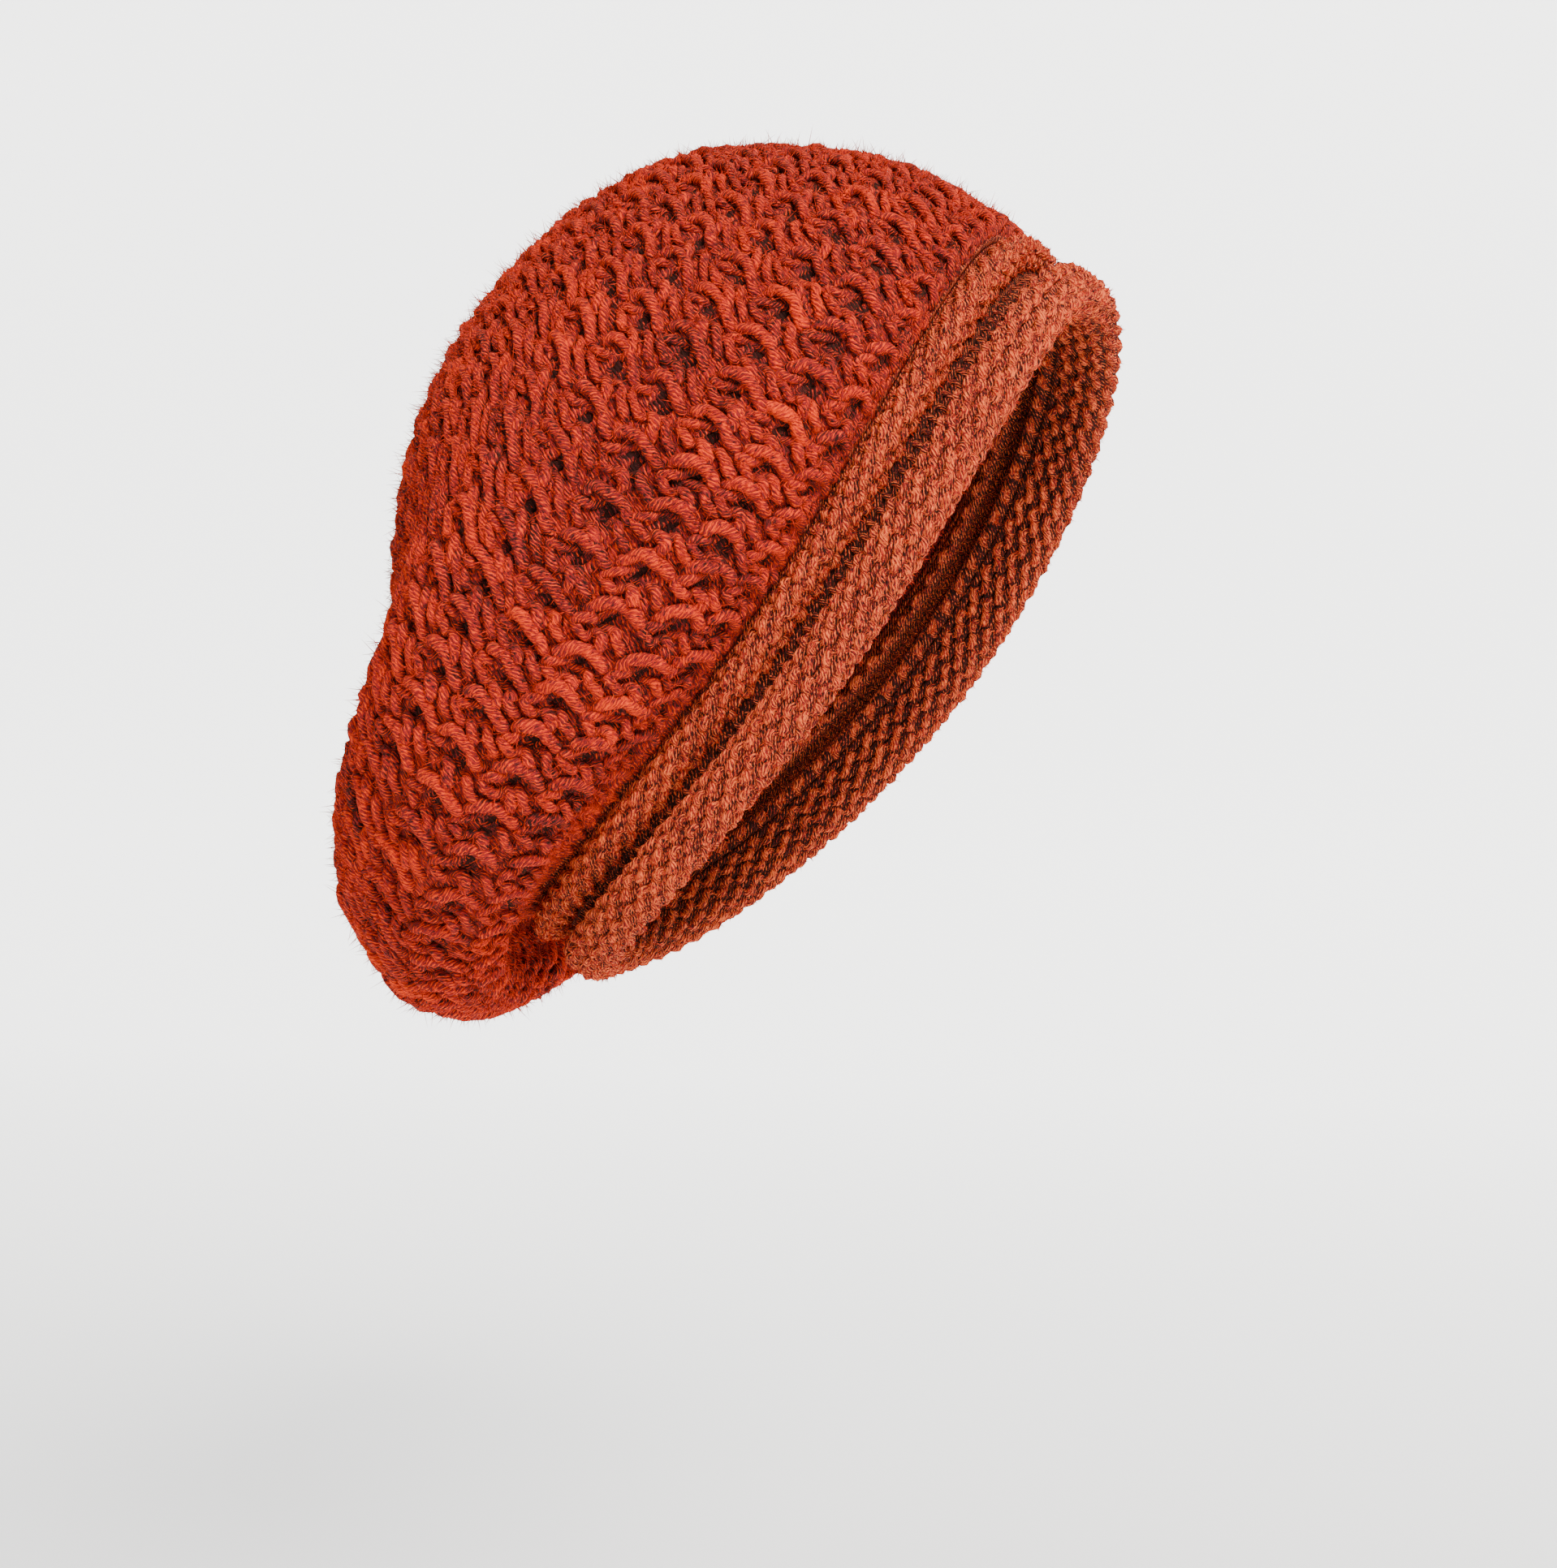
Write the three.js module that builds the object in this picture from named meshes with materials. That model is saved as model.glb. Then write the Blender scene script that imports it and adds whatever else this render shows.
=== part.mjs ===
// Slouchy knit beret in its worn form. Millimetres, +Z up, +X to the forehead side, +Y to the left side.
// The origin is the centre of the head opening.
import * as THREE from 'three';

// Driving dimensions, millimetres and degrees
const RIM_TILT = 54;
const OPENING = { halfLength: 111, halfWidth: 75, squareness: 2.35, sideDrop: 20 };
const BAND_WALL = 3.6;
const CROWN_WALL = 4.5;
const GAP = 0.3;
const FOREHEAD_LIFT = 2.6;

// The hem stands on the opening and rolls outwards; the groove is left between its roll and the welt
const HEM = { rollDepth: 12.6, rollHeight: 15.4, standHeight: 17.2, curlIn: 120, curlTightness: 0.8 };
const WELT = { depth: 11.5, height: 11 };
const CROWN_EDGE_OUT = 6;

// Crown sections from the band (t = 0) to the crown's centre (t = 1), in the plane of the opening:
// s runs from nape to forehead, h away from the opening, half_width to each side
const CROWN_COLUMNS = ['t', 'front_s', 'front_h', 'back_s', 'back_h', 'half_width', 'side_h'];
const BAND_TOP = HEM.standHeight + WELT.height + 2 * GAP;
const BAND_TOP_SIDE = BAND_TOP + FOREHEAD_LIFT / 2 - OPENING.sideDrop;
const EDGE_S = OPENING.halfLength + CROWN_EDGE_OUT;
const EDGE_Y = OPENING.halfWidth + CROWN_EDGE_OUT;
const CROWN_SECTIONS = [
  [0.00, EDGE_S, BAND_TOP + FOREHEAD_LIFT, -EDGE_S, BAND_TOP, EDGE_Y, BAND_TOP_SIDE],
  [0.06, 122, 36, -127, 34, 91, 13],
  [0.13, 121, 47, -139, 21, 103, 21],
  [0.20, 120, 59, -152, 23, 111, 35],
  [0.28, 117, 71, -162, 41, 115, 51],
  [0.42, 106, 94, -143, 76, 113, 81],
  [0.56, 87, 118, -101, 89, 98, 104],
  [0.70, 61, 132, -70, 107, 74, 121],
  [0.85, 28, 139, -38, 130, 41, 134],
  [1.00, -4, 139, -4, 139, 0, 139],
];

// Soft dents (-) and swells (+) in the crown; angle runs from the forehead to the left side
const FOLD_COLUMNS = ['name', 'angle', 't', 'angle_span', 't_span', 'depth'];
const CROWN_FOLDS = [
  ['centre_dent', 0, 1.00, 720, 0.07, -4.0],
  ['back_crease', 190, 0.53, 55, 0.045, -7.5],
  ['nape_lobe', 184, 0.37, 40, 0.08, 2.5],
  ['back_swell', 180, 0.80, 36, 0.06, 3.0],
  ['right_dip', 230, 0.57, 26, 0.07, -4.0],
  ['right_swell', 262, 0.34, 34, 0.10, 2.0],
  ['left_dip', 122, 0.52, 24, 0.09, -3.5],
  ['left_swell', 88, 0.36, 30, 0.10, 2.0],
];

// The crown leaves the band square and is an ellipse from this t on; folds fade out before the band
const ROUND_FROM_T = 0.33;
const FOLD_FREE_T = 0.15;

// Mesh steps
const STEPS_AROUND = 60;
const CROWN_STEPS = 26;
const CROWN_STEP_POWER = 1.1;
const WELT_STEPS = 7;
const CURL_STEPS = 3;
const BASE_STEPS = 5;
const NORMAL_STEP = 0.004;

const named = (columns, rows) => rows.map(
  (row) => Object.fromEntries(columns.map((name, i) => [name, row[i]])),
);
const SECTIONS = named(CROWN_COLUMNS, CROWN_SECTIONS);
const FOLDS = named(FOLD_COLUMNS, CROWN_FOLDS);

const radians = THREE.MathUtils.degToRad;
const tiltCos = Math.cos(radians(RIM_TILT));
const tiltSin = Math.sin(radians(RIM_TILT));

// A point given along the opening (s), across it (y) and away from it (h)
function place(s, y, h) {
  return new THREE.Vector3(s * tiltCos - h * tiltSin, y, s * tiltSin + h * tiltCos);
}

// Unit superellipse: squareness 2 is an ellipse
function superellipse(angle, squareness) {
  const c = Math.cos(angle);
  const s = Math.sin(angle);
  const k = (Math.abs(c) ** squareness + Math.abs(s) ** squareness) ** (-1 / squareness);
  return [c * k, s * k];
}

const forehead = (angle) => (1 + Math.cos(angle)) / 2;

// A band point: out from the opening's edge and up from it; the edge dips at both sides
function bandPoint(angle, out, up) {
  const [along, across] = superellipse(angle, OPENING.squareness);
  const dip = (OPENING.sideDrop / 2) * (1 - Math.cos(2 * angle));
  return place((OPENING.halfLength + out) * along, (OPENING.halfWidth + out) * across, up - dip);
}

// Value of one column at t, on a smooth curve through the table
function sectionValue(column, t) {
  const last = SECTIONS.length - 1;
  let i = 0;
  while (i < last - 1 && t > SECTIONS[i + 1].t) i += 1;
  const slope = (k) => {
    const a = SECTIONS[Math.max(k - 1, 0)];
    const b = SECTIONS[Math.min(k + 1, last)];
    return (b[column] - a[column]) / (b.t - a.t);
  };
  const a = SECTIONS[i];
  const b = SECTIONS[i + 1];
  const width = b.t - a.t;
  const f = (t - a.t) / width;
  const rise = f * f * (3 - 2 * f);
  return a[column] * (1 - rise) + b[column] * rise
    + width * f * (1 - f) * ((1 - f) * slope(i) - f * slope(i + 1));
}

// The crown's smooth outer surface before its folds
function crownBase(angle, t) {
  const [frontS, frontH, backS, backH, halfWidth, sideH] =
    CROWN_COLUMNS.slice(1).map((column) => sectionValue(column, t));
  const round = Math.min(1, t / ROUND_FROM_T);
  const [along, across] = superellipse(angle, OPENING.squareness * (1 - round) + 2 * round);
  const endH = (frontH + backH) / 2;
  const h = (endH + sideH) / 2 + ((frontH - backH) / 2) * Math.cos(angle)
    + ((endH - sideH) / 2) * Math.cos(2 * angle);
  return place((frontS + backS) / 2 + ((frontS - backS) / 2) * along, halfWidth * across, h);
}

function crownNormal(angle, t) {
  const step = NORMAL_STEP;
  const inside = Math.min(t, 1 - 2 * step);
  const around = crownBase(angle + step, inside).sub(crownBase(angle - step, inside));
  const upward = crownBase(angle, inside + step).sub(crownBase(angle, Math.max(inside - step, 0)));
  return around.cross(upward).normalize();
}

function foldDepth(angle, t) {
  const clearOfBand = THREE.MathUtils.smoothstep(t, 0, FOLD_FREE_T);
  return clearOfBand * FOLDS.reduce((sum, fold) => {
    const past = angle - radians(fold.angle) + Math.PI;
    const turn = THREE.MathUtils.euclideanModulo(past, 2 * Math.PI) - Math.PI;
    const a = turn / radians(fold.angle_span);
    const b = (t - fold.t) / fold.t_span;
    return sum + fold.depth * Math.exp(-a * a - b * b);
  }, 0);
}

function crownPoint(angle, t, inwards) {
  return crownBase(angle, t).addScaledVector(crownNormal(angle, t), foldDepth(angle, t) - inwards);
}

const turnStep = (i) => (2 * Math.PI * i) / STEPS_AROUND;

function geometryOf(points, faces) {
  const geometry = new THREE.BufferGeometry();
  geometry.setAttribute('position', new THREE.Float32BufferAttribute(points.flatMap((p) => p.toArray()), 3));
  geometry.setIndex(faces.flat());
  geometry.computeVertexNormals();
  return geometry;
}

// Two triangles between steps i and i + 1 of the rows that start at vertices a and b
function strip(a, b, i, count) {
  const j = (i + 1) % count;
  return [[a + i, a + j, b + j], [a + i, b + j, b + i]];
}

// A ring whose cross-section at each angle is a closed outline of [out, up] points
function bandRing(outlineAt) {
  const points = [];
  for (let i = 0; i < STEPS_AROUND; i += 1) {
    const angle = turnStep(i);
    outlineAt(angle).forEach(([out, up]) => points.push(bandPoint(angle, out, up)));
  }
  const count = points.length / STEPS_AROUND;
  const faces = [];
  for (let i = 0; i < STEPS_AROUND; i += 1) {
    const next = ((i + 1) % STEPS_AROUND) * count;
    for (let k = 0; k < count; k += 1) faces.push(...strip(i * count, next, k, count));
  }
  return geometryOf(points, faces);
}

// A wall of even thickness along a centre line of [out, up] points, as one closed outline
function wallOutline(line, wall) {
  const side = (sign) => line.map(([out, up], k) => {
    const before = line[Math.max(k - 1, 0)];
    const after = line[Math.min(k + 1, line.length - 1)];
    const run = Math.hypot(after[0] - before[0], after[1] - before[1]);
    const offset = (sign * wall) / 2 / run;
    return [out - (after[1] - before[1]) * offset, up + (after[0] - before[0]) * offset];
  });
  return [...side(1), ...side(-1).reverse()];
}

function arc(centre, radius, fromDegrees, toDegrees, steps) {
  return Array.from({ length: steps + 1 }, (_, i) => {
    const a = radians(fromDegrees + ((toDegrees - fromDegrees) * i) / steps);
    return [centre[0] + radius * Math.cos(a), centre[1] + radius * Math.sin(a)];
  });
}

// The hem: a standing wall that turns out at the opening's edge and curls back up into the groove
function hemOutline(angle) {
  const half = BAND_WALL / 2;
  const base = (HEM.rollDepth - BAND_WALL) / 2;
  const curl = base * HEM.curlTightness;
  const standTop = HEM.standHeight + FOREHEAD_LIFT * forehead(angle);
  const line = [
    [half, standTop],
    [half, (standTop + base) / 2],
    ...arc([half + base, half + base], base, 180, 360, BASE_STEPS),
    ...arc([half + 2 * base - curl, HEM.rollHeight - half - curl], curl, 0, HEM.curlIn, CURL_STEPS),
  ];
  return wallOutline(line, BAND_WALL);
}

// The welt: a ridge puffed outwards, hollow on its inner side
function weltOutline(angle) {
  const half = BAND_WALL / 2;
  const bottom = HEM.standHeight + GAP + FOREHEAD_LIFT * forehead(angle);
  const middle = bottom + WELT.height / 2;
  const line = Array.from({ length: WELT_STEPS + 1 }, (_, i) => {
    const a = radians(-90 + (180 * i) / WELT_STEPS);
    return [half + (WELT.depth - BAND_WALL) * Math.cos(a), middle + (WELT.height / 2 - half) * Math.sin(a)];
  });
  return wallOutline(line, BAND_WALL);
}

// The crown: an outer and an inner skin, each closed at the centre, joined along the band
function crownGeometry() {
  const points = [];
  const faces = [];
  const skin = (inwards) => {
    const start = points.length;
    for (let k = 0; k < CROWN_STEPS; k += 1) {
      const t = (k / CROWN_STEPS) ** CROWN_STEP_POWER;
      for (let i = 0; i < STEPS_AROUND; i += 1) points.push(crownPoint(turnStep(i), t, inwards));
    }
    points.push(crownPoint(0, 1, inwards));
    return start;
  };
  const outer = skin(0);
  const inner = skin(CROWN_WALL);
  const lastRow = (CROWN_STEPS - 1) * STEPS_AROUND;
  for (let i = 0; i < STEPS_AROUND; i += 1) {
    const next = (i + 1) % STEPS_AROUND;
    for (let k = 0; k < CROWN_STEPS - 1; k += 1) {
      const row = k * STEPS_AROUND;
      faces.push(...strip(outer + row, outer + row + STEPS_AROUND, i, STEPS_AROUND));
      faces.push(...strip(inner + row + STEPS_AROUND, inner + row, i, STEPS_AROUND));
    }
    faces.push([outer + lastRow + i, outer + lastRow + next, outer + lastRow + STEPS_AROUND]);
    faces.push([inner + lastRow + next, inner + lastRow + i, inner + lastRow + STEPS_AROUND]);
    faces.push(...strip(inner, outer, i, STEPS_AROUND));
  }
  return geometryOf(points, faces);
}

// Matt acrylic-like yarn; the band's close purl side looks a little lighter than the open crown
const yarn = (colour) => new THREE.MeshStandardMaterial({ color: colour, roughness: 0.95, metalness: 0 });

function piece(name, geometry, colour) {
  const mesh = new THREE.Mesh(geometry, yarn(colour));
  mesh.name = name;
  return mesh;
}

const beret = new THREE.Group();
beret.name = 'knit_beret';
beret.add(piece('crown', crownGeometry(), 0xc2331a));
beret.add(piece('upper_welt', bandRing(weltOutline), 0xcb421f));
beret.add(piece('rolled_hem', bandRing(hemOutline), 0xcf4a22));

export default beret;
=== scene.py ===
import math

import bpy
import numpy as np
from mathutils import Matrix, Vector


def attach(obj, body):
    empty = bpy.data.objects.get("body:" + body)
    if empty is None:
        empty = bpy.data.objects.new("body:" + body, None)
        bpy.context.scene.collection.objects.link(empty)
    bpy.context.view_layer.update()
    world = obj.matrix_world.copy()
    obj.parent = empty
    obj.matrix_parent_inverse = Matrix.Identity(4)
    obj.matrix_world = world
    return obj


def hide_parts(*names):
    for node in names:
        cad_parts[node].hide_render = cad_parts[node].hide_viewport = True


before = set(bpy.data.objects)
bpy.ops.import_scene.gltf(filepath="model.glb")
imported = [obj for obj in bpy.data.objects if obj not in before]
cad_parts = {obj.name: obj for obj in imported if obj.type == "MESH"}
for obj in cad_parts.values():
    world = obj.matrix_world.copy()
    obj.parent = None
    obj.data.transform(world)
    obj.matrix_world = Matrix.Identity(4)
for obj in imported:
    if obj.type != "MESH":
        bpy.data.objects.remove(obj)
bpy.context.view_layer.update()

# All sizes are in millimetres until a mesh is made; angles in the tables are degrees.
# The crown's t runs from the band (0) to the gathered centre (1).
MM = 0.001
TAU = 2 * math.pi
random = np.random.default_rng(7)

# The opening, the band and the crown's sections, as in the solids
RIM_TILT = math.radians(54)
HALF_LENGTH = 111.0
HALF_WIDTH = 75.0
SQUARENESS = 2.35
SIDE_DROP = 20.0
FOREHEAD_LIFT = 2.6
BAND_WALL = 3.6
HEM_DEPTH = 12.6
HEM_HEIGHT = 15.4
HEM_STAND = 17.2
HEM_CURL = 120
CURL_TIGHTNESS = 0.8
WELT_DEPTH = 11.5
WELT_HEIGHT = 11.0
GAP = 0.3
CROWN_EDGE_OUT = 6.0
ROUND_FROM_T = 0.33
FOLD_FREE_T = 0.15

BAND_HALF = BAND_WALL / 2
HEM_BASE = (HEM_DEPTH - BAND_WALL) / 2
HEM_CENTRE = BAND_HALF + HEM_BASE
CURL_RADIUS = HEM_BASE * CURL_TIGHTNESS
CURL_FACE = CURL_RADIUS + BAND_HALF
CURL_OUT = HEM_CENTRE + HEM_BASE - CURL_RADIUS
CURL_UP = HEM_HEIGHT - BAND_HALF - CURL_RADIUS
BAND_TOP = HEM_STAND + WELT_HEIGHT + 2 * GAP
BAND_TOP_SIDE = BAND_TOP + FOREHEAD_LIFT / 2 - SIDE_DROP
EDGE_S = HALF_LENGTH + CROWN_EDGE_OUT
EDGE_Y = HALF_WIDTH + CROWN_EDGE_OUT

# t, front_s, front_h, back_s, back_h, half_width, side_h
CROWN_SECTIONS = np.array([
    (0.00, EDGE_S, BAND_TOP + FOREHEAD_LIFT, -EDGE_S, BAND_TOP, EDGE_Y, BAND_TOP_SIDE),
    (0.06, 122, 36, -127, 34, 91, 13),
    (0.13, 121, 47, -139, 21, 103, 21),
    (0.20, 120, 59, -152, 23, 111, 35),
    (0.28, 117, 71, -162, 41, 115, 51),
    (0.42, 106, 94, -143, 76, 113, 81),
    (0.56, 87, 118, -101, 89, 98, 104),
    (0.70, 61, 132, -70, 107, 74, 121),
    (0.85, 28, 139, -38, 130, 41, 134),
    (1.00, -4, 139, -4, 139, 0, 139),
])
# angle, t, angle_span, t_span, depth
CROWN_FOLDS = [
    (0, 1.00, 720, 0.07, -4.0),
    (190, 0.53, 55, 0.045, -7.5),
    (184, 0.37, 40, 0.08, 2.5),
    (180, 0.80, 36, 0.06, 3.0),
    (230, 0.57, 26, 0.07, -4.0),
    (262, 0.34, 34, 0.10, 2.0),
    (122, 0.52, 24, 0.09, -3.5),
    (88, 0.36, 30, 0.10, 2.0),
]

# One crown stitch, from the middle of its eyelet: x in shares of its width, towards the front on the hat's
# right side, and y in shares of its row's height, towards the band. The depth is under the crown's face.
# x, y, depth, radius
ARCH_YARN = [
    (0.13, -0.44, 3.0, 1.7),
    (0.22, -0.40, 1.6, 1.8),
    (0.31, -0.34, 0.9, 1.8),
    (0.38, -0.24, 0.5, 1.85),
    (0.40, -0.09, 0.4, 1.85),
    (0.35, 0.08, 0.5, 1.85),
    (0.25, 0.21, 0.7, 1.8),
    (0.14, 0.32, 1.1, 1.75),
    (0.05, 0.43, 2.2, 1.8),
    (0.05, 0.52, 3.6, 1.5),
    (0.22, 0.57, 3.9, 1.5),
    (0.38, 0.55, 2.9, 1.4),
    (0.47, 0.50, 1.4, 1.45),
    (0.57, 0.40, 0.7, 1.5),
    (0.70, 0.30, 0.6, 1.5),
    (0.81, 0.25, 0.9, 1.5),
    (0.87, 0.17, 2.4, 1.45),
    (0.84, 0.02, 3.8, 1.5),
    (0.92, -0.27, 3.8, 1.5),
]
HOOK_YARN = [
    (-0.74, 0.06, 3.2, 1.6),
    (-0.64, 0.09, 1.9, 1.75),
    (-0.52, 0.10, 0.9, 1.9),
    (-0.40, 0.07, 0.7, 1.9),
    (-0.29, 0.00, 0.9, 1.85),
    (-0.26, -0.10, 2.1, 1.65),
    (-0.34, -0.17, 2.0, 1.45),
    (-0.36, -0.26, 0.9, 1.5),
    (-0.28, -0.35, 0.7, 1.5),
    (-0.20, -0.44, 0.8, 1.5),
    (-0.13, -0.53, 1.3, 1.5),
    (-0.06, -0.50, 1.2, 1.5),
    (-0.01, -0.40, 0.9, 1.5),
    (0.03, -0.31, 1.1, 1.45),
    (0.09, -0.24, 2.4, 1.55),
    (0.22, -0.10, 3.8, 1.5),
]
STITCH_WIDTH = 13.1
STITCH_HEIGHT = 17.5
# Stitches in each of the crown's rows, from the band up, and thin courses behind them
ROW_STITCHES = [58, 58, 58, 58, 58, 58, 58, 54, 48, 40, 32, 23, 15, 7]
CROWN_ROWS = len(ROW_STITCHES)
GROUND_COURSES = 74
# Rows are spaced by the way up the crown (EVENNESS 1) or by t (0), and are drawn a little towards the centre
EVENNESS = 0.78
ROW_DRAW = 0.09
# How far the columns of stitches turn on their way up, in radians: everywhere, then more at some directions
COLUMN_LEAN = 0.40
LEAN_AT_FRONT = 0.37
LEAN_TWICE_ROUND = 0.14
TURN_TWICE_ROUND = 0.05
# Steps of the table from even lengths to t
DIRECTIONS = 72
LENGTHS = 100

# Spread of the random shifts: stitches and their points by shares of a stitch, the depth by millimetres and the
# radius by shares of itself
STITCH_SHIFT = 0.05
POINT_SHIFT = 0.022
DEPTH_SHIFT = 0.3
RADIUS_SHIFT = 0.05
# Yarn deeper than the first runs under others and keeps clear of the eyelets; it has few points and no hairs
UNDER_OTHERS = 2.7
FEW_POINTS_BELOW = 2.6
NO_HAIRS_BELOW = 2.2
YARN_FROM_EYELET = 3.3
# The ground is deeper at the eyelets and painted darker there, as painted shade in the holes, fully and not at
# all at these distances from their middles.
GROUND_FROM_EYELET = 1.3
EYELET_EDGES = (1.2, 3.6)
EYELET_DEPTH = 1.4
EYELET_SHADE = 0.9
# The ground's yarns are at least this share of their spacing in radius, so that no light shows between them.
GROUND_OVERLAP = 0.77

# Painted shade in the recesses: yarn is painted darker by this much between these heights over the fabric's
# face.
PAINTED_CAVITY_SHADE = 0.5
PAINTED_CAVITY_LEVELS = (-4.5, 1.8)

BAND_STITCHES = 78
HEM_COURSES = 9
# The hem's convex face beyond its standing wall: the turn outwards, a straight rise and the curl
HEM_FACE = math.pi * HEM_CENTRE + CURL_UP - 2 * HEM_CENTRE + math.radians(HEM_CURL) * CURL_FACE
HEM_COURSE = 5.07
WELT_COURSE = 5.0
# Places of the welt's courses and the step of the yarns behind them, along its convex face
WELT_MIDDLES = (2.4, 7.3, 12.2, 17.1, 22.0)
WELT_GROUND_STEP = 2.45
HAIR_RADIUS = 0.16
# Number of hairs on a piece and their greatest length
CROWN_HAIRS = (37000, 4.2)
BAND_HAIRS = (8000, 1.6)


def smoothstep(x, low, high):
    f = np.clip((x - low) / (high - low), 0, 1)
    return f * f * (3 - 2 * f)


def place(s, y, h):
    """A point given along the opening, across it and away from it."""
    c, n = math.cos(RIM_TILT), math.sin(RIM_TILT)
    return np.stack([s * c - h * n, y, s * n + h * c], -1)


def superellipse(angle, squareness):
    c, s = np.cos(angle), np.sin(angle)
    k = (np.abs(c) ** squareness + np.abs(s) ** squareness) ** (-1 / squareness)
    return c * k, s * k


def forehead(angle):
    return (1 + np.cos(angle)) / 2


def band_point(angle, out, up):
    """A point out from the opening's edge and up from it; the edge dips at both sides."""
    along, across = superellipse(angle, SQUARENESS)
    dip = SIDE_DROP / 2 * (1 - np.cos(2 * angle))
    return place((HALF_LENGTH + out) * along, (HALF_WIDTH + out) * across, up - dip)


def section_values(t):
    """The crown table's columns at t, on a smooth curve."""
    table = CROWN_SECTIONS
    last = len(table) - 1
    i = np.clip(np.searchsorted(table[:, 0], t, side="left") - 1, 0, last - 1)
    steps = np.arange(last + 1)
    before, after = np.maximum(steps - 1, 0), np.minimum(steps + 1, last)
    slopes = (table[after] - table[before]) / (table[after, :1] - table[before, :1])
    width = table[i + 1, 0] - table[i, 0]
    f = ((t - table[i, 0]) / width)[..., None]
    rise = f * f * (3 - 2 * f)
    lean = width[..., None] * f * (1 - f) * ((1 - f) * slopes[i] - f * slopes[i + 1])
    return (table[i] * (1 - rise) + table[i + 1] * rise + lean)[..., 1:]


def crown_base(angle, t):
    """The crown's outer surface before its folds."""
    front_s, front_h, back_s, back_h, half_width, side_h = np.moveaxis(section_values(t), -1, 0)
    rounding = np.clip(t / ROUND_FROM_T, 0, 1)
    along, across = superellipse(angle, SQUARENESS * (1 - rounding) + 2 * rounding)
    end_h = (front_h + back_h) / 2
    h = (end_h + side_h) / 2 + (front_h - back_h) / 2 * np.cos(angle)
    h = h + (end_h - side_h) / 2 * np.cos(2 * angle)
    return place((front_s + back_s) / 2 + (front_s - back_s) / 2 * along, half_width * across, h)


def unit(v):
    return v / np.maximum(np.linalg.norm(v, axis=-1, keepdims=True), 1e-9)


def crown_normal(angle, t):
    step = 0.004
    inside = np.minimum(t, 1 - 2 * step)
    around = crown_base(angle + step, inside) - crown_base(angle - step, inside)
    upward = crown_base(angle, inside + step) - crown_base(angle, np.maximum(inside - step, 0))
    return unit(np.cross(around, upward))


def fold_depth(angle, t):
    """How far the folds move the crown's surface outwards."""
    total = 0
    for fold_angle, fold_t, angle_span, t_span, depth in CROWN_FOLDS:
        turn = (angle - math.radians(fold_angle) + math.pi) % TAU - math.pi
        total = total + depth * np.exp(-(turn / math.radians(angle_span)) ** 2 - ((t - fold_t) / t_span) ** 2)
    return total * smoothstep(t, 0, FOLD_FREE_T)


def crown_surface(angle, t, depth):
    """Point and outward normal at a depth under the crown's outer surface."""
    t = np.clip(t, 0, 1)
    normal = crown_normal(angle, t)
    return crown_base(angle, t) + normal * (fold_depth(angle, t) - depth)[..., None], normal


def closed_curve(points, per_step):
    """Catmull-Rom curve through a closed row of points of any width."""
    f = (np.arange(per_step) / per_step)[None, :, None]
    p0, p1 = np.roll(points, 1, 0)[:, None], points[:, None]
    p2, p3 = np.roll(points, -1, 0)[:, None], np.roll(points, -2, 0)[:, None]
    curve = 0.5 * (2 * p1 + (p2 - p0) * f + (2 * p0 - 5 * p1 + 4 * p2 - p3) * f ** 2
                   + (3 * p1 - p0 - 3 * p2 + p3) * f ** 3)
    return curve.reshape(-1, points.shape[1])


def running_length(points):
    """Length along a row of points, from 0 at the first."""
    return np.concatenate([[0], np.cumsum(np.linalg.norm(np.diff(points, axis=0), axis=1))])


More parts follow.
